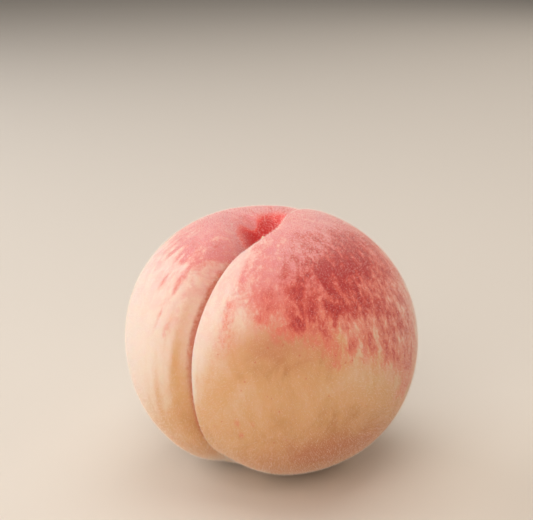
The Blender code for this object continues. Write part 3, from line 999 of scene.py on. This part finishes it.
def down_tree(material):
    """Hairs on the skin: three-sided spikes, leaning at random, their feet in the skin."""
    tree = new_tree("Peach Down", [
        ("Geometry", "NodeSocketGeometry", None),
        ("Hairs Per Area", NUMBER, 1e6),
        ("Hair Length", NUMBER, 0.55 * MM),
        ("Foot Radius", NUMBER, 0.022 * MM),
        ("Lean", NUMBER, 0.6),
        ("Clear Height", NUMBER, 1.0 * MM),
        ("Seed", "NodeSocketInt", 1),
    ], [("Geometry", "NodeSocketGeometry")])
    entry = add(tree, "NodeGroupInput")
    press = add(tree, "GeometryNodeInputNamedAttribute", {"data_type": "FLOAT_VECTOR"},
                {"Name": "press"})
    hollow = add(tree, "ShaderNodeSeparateXYZ", {}, [press])
    place = add(tree, "GeometryNodeInputPosition")
    height = add(tree, "ShaderNodeSeparateXYZ", {}, [place])
    bare = add(tree, "ShaderNodeMapRange", {"interpolation_type": "SMOOTHSTEP"},
               [hollow.outputs["Z"], THINNING_START, THINNING_END, 1.0, THINNED_SHARE])
    clear = add(tree, "ShaderNodeMath", {"operation": "GREATER_THAN"},
                [height.outputs["Z"], entry.outputs["Clear Height"]])
    kept = add(tree, "ShaderNodeMath", {"operation": "MULTIPLY"}, [bare, clear])
    density = add(tree, "ShaderNodeMath", {"operation": "MULTIPLY"},
                  [kept, entry.outputs["Hairs Per Area"]])
    scatter = add(tree, "GeometryNodeDistributePointsOnFaces", {"distribute_method": "RANDOM"},
                  {"Mesh": entry.outputs["Geometry"], "Density": density,
                   "Seed": entry.outputs["Seed"]})
    hair = add(tree, "GeometryNodeMeshCone", {"fill_type": "NGON"},
               {"Vertices": 3, "Radius Top": 0.0, "Radius Bottom": entry.outputs["Foot Radius"],
                "Depth": entry.outputs["Hair Length"]})
    sunk = add(tree, "GeometryNodeTransform", {},
               {"Geometry": hair.outputs["Mesh"], "Translation": (0.0, 0.0, -HAIR_ROOT)})
    lean_side = add(tree, "FunctionNodeRandomValue", {"data_type": "FLOAT_VECTOR"},
                    [(-1.0, -1.0, -1.0), (1.0, 1.0, 1.0), None, entry.outputs["Seed"]])
    leaning = add(tree, "ShaderNodeVectorMath", {"operation": "SCALE"},
                  {"Vector": lean_side, "Scale": entry.outputs["Lean"]})
    aim = add(tree, "ShaderNodeVectorMath", {"operation": "ADD"},
              [scatter.outputs["Normal"], leaning])
    turned = add(tree, "FunctionNodeAlignRotationToVector", {"axis": "Z"}, {"Vector": aim})
    size = add(tree, "FunctionNodeRandomValue", {"data_type": "FLOAT"},
               [*HAIR_SCALES, None, entry.outputs["Seed"]])
    hairs = add(tree, "GeometryNodeInstanceOnPoints", {},
                {"Points": scatter.outputs["Points"], "Instance": sunk, "Rotation": turned,
                 "Scale": size})
    realized = add(tree, "GeometryNodeRealizeInstances", {}, [hairs])
    finished = add(tree, "GeometryNodeSetMaterial", {}, {"Geometry": realized,
                                                         "Material": material})
    add(tree, "NodeGroupOutput", {}, [finished])
    return tree


# ---------------------------------------------------------------- settings

def size_setting(name, default, description):
    """A length in metres that a user may change."""
    return FloatProperty(name=name, default=default, description=description, min=0.0,
                         unit="LENGTH", precision=5)


def power_setting(name, default, description):
    """A light's power in watts."""
    return FloatProperty(name=name, default=default, description=description, min=0.0,
                         unit="POWER")


def colour_setting(name, code, description):
    """A colour whose default is given as an sRGB hex code."""
    return FloatVectorProperty(name=name, default=linear(code)[:3], description=description,
                               subtype="COLOR", size=3, min=0.0, max=1.0)


class PeachFruitSettings(bpy.types.PropertyGroup):
    """Sizes of the fruit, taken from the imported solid's box."""

    half_width: size_setting("Half width", BODY_WIDTH_SHARE * FRUIT_SIZE.x,
                             "From the middle to either cheek, before the groove is pressed in")
    half_depth: size_setting("Half depth", BODY_DEPTH_SHARE * FRUIT_SIZE.y,
                             "From the middle to the front or the back")
    half_height: size_setting("Half height", BODY_HEIGHT_SHARE * FRUIT_SIZE.z,
                              "From the middle to either pole")
    seat_depth: size_setting("Seat depth", SEAT_SHARE * FRUIT_SIZE.z,
                             "From the middle down to the flat spot")
    groove_depth: size_setting("Groove depth", 5.6 * MM, "Depth of the suture at the girth")
    funnel_depth: size_setting("Funnel depth", 9.53 * MM, "Depth of the hollow's inner funnel")
    unevenness: size_setting("Unevenness", 0.3 * MM, "Height of the slight swells in the flesh")
    columns: IntProperty(name="Columns", default=300, min=32,
                         description="Mesh columns round the fruit")
    rows: IntProperty(name="Rows", default=320, min=32, description="Mesh rows from pole to pole")


class PeachColourSettings(bpy.types.PropertyGroup):
    """Colours of the skin, from the ground up."""

    cream: colour_setting("Cream ground", "f2dfcf", "Ground colour on the pale side")
    gold: colour_setting("Gold ground", "e2b282", "Ground colour where it is ripest")
    amber: colour_setting("Amber ground", "cf955f", "Ground colour in its deepest clouds")
    # The tan ground is partly painted shade low down, near the floor.
    tan: colour_setting("Tan ground", "c9835a", "Ground colour low on the shaded cheek")
    coral: colour_setting("Coral wash", "e67e6a", "The flush where it is thin, over gold")
    pink: colour_setting("Pink wash", "e2908f", "The flush where it is thin, over cream")
    rose: colour_setting("Rose flush", "d25b50", "The flush in its streaks")
    crimson: colour_setting("Crimson flush", "bb403e", "The flush where it is thickest")
    crease: colour_setting("Crease", "cf6a48", "The line at the bottom of the groove")
    # The throat, hollow and deep hollow colours are partly painted shade, darker the deeper the
    # skin lies in the hollow.
    throat: colour_setting("Throat", "ea7066", "The skin as it turns down into the hollow")
    hollow: colour_setting("Hollow", "e23a33", "The wall of the stalk hollow")
    deep: colour_setting("Deep hollow", "d21a18", "The deepest red, beside the stalk")
    # The bloom is partly painted sheen of the down. The pale marks share its colour.
    bloom: colour_setting("Bloom", "f2cdc8", "Pale flecks where the down lies thick")
    down: colour_setting("Down", "fff1e6", "The hairs")


class PeachDownSettings(bpy.types.PropertyGroup):
    """Sizes of the down."""

    hair_length: size_setting("Hair length", 0.55 * MM, "Length of a hair of middling size")
    foot_radius: size_setting("Foot radius", 0.022 * MM, "Radius of a hair's foot")
    hairs: IntProperty(name="Hairs per piece", default=44000, min=100,
                       description="About how many hairs each piece of down holds")
    pieces: IntProperty(name="Pieces", default=3, min=1, max=8,
                        description="How many pieces the down is split into")


class PeachStageSettings(bpy.types.PropertyGroup):
    """The camera, the lights and the floor."""

    azimuth: FloatProperty(name="Azimuth", default=math.radians(34.3), unit="ROTATION",
                           description="Camera's turn from the front towards +X")
    elevation: FloatProperty(name="Elevation", default=math.radians(21.5), unit="ROTATION",
                             description="Camera's angle above the floor")
    distance: size_setting("Distance", 0.4094, "Camera to the fruit's middle")
    lens: FloatProperty(name="Lens", default=91.4, min=10.0, subtype="DISTANCE_CAMERA",
                        description="Focal length in millimetres on a 36 mm sensor")
    aim_up: size_setting("Aim up", 27.37 * MM, "How far above the fruit's middle it is aimed")
    aim_left: size_setting("Aim left", 1.92 * MM, "How far left of the middle it is aimed")
    front_power: power_setting("Front light", 6.6, "Power of the large light in front")
    window_power: power_setting("Window light", 4.8, "Power of the large light on the left")
    top_power: power_setting("Top light", 5.2, "Power of the light overhead")
    back_power: power_setting("Back light", 1.6, "Power of the light behind, on the down")
    side_power: power_setting("Side light", 1.4, "Power of the weak light on the right")
    room_strength: FloatProperty(name="Room light", default=0.05, min=0.0,
                                 description="Strength of the even light all round")
    floor_colour: colour_setting("Floor", "e0d6c9", "Plain pale floor")


# ---------------------------------------------------------------- operators

FLOOR_WIDTH = 6.0


class PEACH_OT_fruit(bpy.types.Operator):
    """Make the fruit with its groove, its hollow and its skin"""

    bl_idname = "peach.fruit"
    bl_label = "Make Fruit"

    def execute(self, context):
        sizes = context.scene.peach_fruit
        material = skin_material(context.scene.peach_colours)
        mesh = baked_mesh("peach_fruit", bpy.data.meshes.new("empty_start"),
                          fruit_tree(material), {
            "Columns": sizes.columns,
            "Rows": sizes.rows,
            "Half Width": sizes.half_width,
            "Half Depth": sizes.half_depth,
            "Half Height": sizes.half_height,
            "Seat Depth": sizes.seat_depth,
            "Groove Depth": sizes.groove_depth,
            "Funnel Depth": sizes.funnel_depth,
            "Unevenness": sizes.unevenness,
        })
        place_piece("peach_fruit", mesh, "fruit")
        return {"FINISHED"}


class PEACH_OT_stalk(bpy.types.Operator):
    """Make the broken stub of the stalk"""

    bl_idname = "peach.stalk"
    bl_label = "Make Stalk"

    def execute(self, context):
        mesh = stalk_mesh("peach_stalk")
        mesh.materials.append(stalk_material())
        place_piece("peach_stalk", mesh, "stalk")
        return {"FINISHED"}


class PEACH_OT_down(bpy.types.Operator):
    """Make the down that stands on the skin"""

    bl_idname = "peach.down"
    bl_label = "Make Down"

    def execute(self, context):
        sizes = context.scene.peach_down
        fruit = bpy.data.objects["peach_fruit"].data
        area = sum(face.area for face in fruit.polygons)
        tree = down_tree(down_material(context.scene.peach_colours.down))
        for number in range(sizes.pieces):
            mesh = baked_mesh(f"peach_down_{number + 1}", fruit.copy(), tree, {
                "Hairs Per Area": sizes.hairs / area,
                "Hair Length": sizes.hair_length,
                "Foot Radius": sizes.foot_radius,
                "Seed": number + 1,
            })
            place_piece(f"peach_down_{number + 1}", mesh)
        return {"FINISHED"}


class PEACH_OT_stage(bpy.types.Operator):
    """Make the floor, the lights and the camera"""

    bl_idname = "peach.stage"
    bl_label = "Make Stage"

    def execute(self, context):
        stage = context.scene.peach_stage
        middle = Vector((0.0, 0.0, SEAT_SHARE * FRUIT_SIZE.z))
        off_axis = Vector((-FORM["Footprint X"], -FORM["Footprint Y"], 0.0))
        sideways = Vector((math.cos(stage.azimuth), math.sin(stage.azimuth), 0.0))
        away = Vector((-math.sin(stage.azimuth), math.cos(stage.azimuth), 0.0))
        upwards = Vector((0.0, 0.0, 1.0))

        bpy.ops.mesh.primitive_plane_add(size=FLOOR_WIDTH)
        floor = context.object
        floor.name = "floor"
        paint = new_material("Plain pale floor")
        shader = add(paint.node_tree, "ShaderNodeBsdfPrincipled", {}, {
            "Base Color": (*stage.floor_colour, 1.0), "Roughness": 0.8})
        add(paint.node_tree, "ShaderNodeOutputMaterial", {}, [shader])
        floor.data.materials.append(paint)

        world = bpy.data.worlds.new("Soft room")
        world.use_nodes = True
        world.node_tree.nodes.clear()
        sky = add(world.node_tree, "ShaderNodeBackground", {},
                  [linear("f6f1ea"), stage.room_strength])
        add(world.node_tree, "ShaderNodeOutputWorld", {}, [sky])
        context.scene.world = world

        # Each light's place to the right, behind and above the fruit, its width and its power.
        lights = (
            ("front", (-0.30, -0.80, 0.60), 0.80, stage.front_power, "fff7ef"),
            ("window", (-0.75, 0.30, 0.42), 0.80, stage.window_power, "f4f8ff"),
            ("top", (0.00, 0.00, 1.00), 0.90, stage.top_power, "fffaf5"),
            ("back", (0.45, 0.80, 0.50), 0.60, stage.back_power, "fffaf5"),
            ("side", (0.80, -0.10, 0.40), 0.80, stage.side_power, "fff3e6"),
        )
        for name, (right, back, up), width, power, tint in lights:
            lamp = bpy.data.lights.new(name, "AREA")
            lamp.shape = "SQUARE"
            lamp.size = width
            lamp.energy = power
            lamp.color = linear(tint)[:3]
            holder = bpy.data.objects.new(name, lamp)
            context.collection.objects.link(holder)
            holder.location = middle + sideways * right + away * back + upwards * up
            holder.rotation_euler = (middle - holder.location).to_track_quat("-Z", "Y").to_euler()

        view = bpy.data.cameras.new("camera")
        view.sensor_width = 36.0
        view.lens = stage.lens
        camera = bpy.data.objects.new("camera", view)
        context.collection.objects.link(camera)
        towards = upwards * math.sin(stage.elevation) - away * math.cos(stage.elevation)
        camera.location = middle + off_axis + towards * stage.distance
        view_up = upwards * math.cos(stage.elevation) + away * math.sin(stage.elevation)
        aim = middle + off_axis + view_up * stage.aim_up - sideways * stage.aim_left
        camera.rotation_euler = (aim - camera.location).to_track_quat("-Z", "Y").to_euler()
        context.scene.camera = camera
        context.scene.view_settings.view_transform = "Standard"
        return {"FINISHED"}


class PEACH_PT_panel(bpy.types.Panel):
    """The peach's sizes, colours and steps"""

    bl_label = "White Peach"
    bl_space_type = "VIEW_3D"
    bl_region_type = "UI"
    bl_category = "Peach"

    def draw(self, context):
        layout = self.layout
        for operator, settings in STEPS_TO_MAKE:
            box = layout.box()
            box.operator(operator)
            if settings:
                group = getattr(context.scene, settings)
                for name in type(group).__annotations__:
                    box.prop(group, name)
        for name in PeachColourSettings.__annotations__:
            layout.prop(context.scene.peach_colours, name)


# Each operator and its settings, in the order that they are run.
STEPS_TO_MAKE = (
    ("peach.fruit", "peach_fruit"),
    ("peach.stalk", None),
    ("peach.down", "peach_down"),
    ("peach.stage", "peach_stage"),
)
SETTINGS = {
    "peach_fruit": PeachFruitSettings,
    "peach_colours": PeachColourSettings,
    "peach_down": PeachDownSettings,
    "peach_stage": PeachStageSettings,
}
CLASSES = (*SETTINGS.values(), PEACH_OT_fruit, PEACH_OT_stalk, PEACH_OT_down, PEACH_OT_stage,
           PEACH_PT_panel)


def register():
    for made in CLASSES:
        bpy.utils.register_class(made)
    for name, settings in SETTINGS.items():
        setattr(bpy.types.Scene, name, PointerProperty(type=settings))


def unregister():
    for name in SETTINGS:
        delattr(bpy.types.Scene, name)
    for made in reversed(CLASSES):
        bpy.utils.unregister_class(made)


def main():
    register()
    bpy.ops.peach.fruit()
    bpy.ops.peach.stalk()
    bpy.ops.peach.down()
    bpy.ops.peach.stage()


if __name__ == "__main__":
    main()
